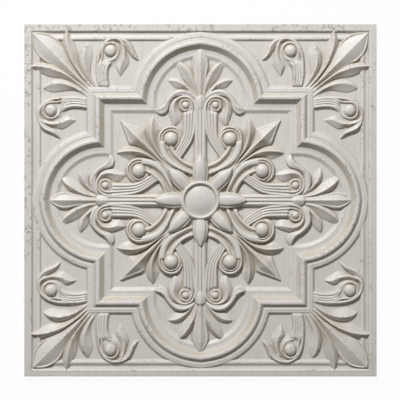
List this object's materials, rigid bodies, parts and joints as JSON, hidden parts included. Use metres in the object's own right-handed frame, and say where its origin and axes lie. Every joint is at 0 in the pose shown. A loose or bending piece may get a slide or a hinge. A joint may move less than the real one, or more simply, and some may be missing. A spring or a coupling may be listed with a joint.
{
  "type": "pvc ceiling tile",
  "caption": "Square embossed PVC ceiling tile with a quatrefoil moulding, a leaf and scroll ornament and a flat rim for a ceiling grid or for gluing up.",
  "frame": {"origin": "middle of the tile, on the back of the inner field, which is the lowest face", "axes": "+Z out of the decorated face, X and Y along the tile's edges"},
  "size_m": [0.603, 0.603, 0.0138],
  "materials": {
    "pvc_sheet": "off-white satin PVC with a grey-brown antique wash in the hollows and mottled specks"
  },
  "bodies": {
    "root": {"ceiling_tile": "pvc_sheet"}
  },
  "joints": []
}
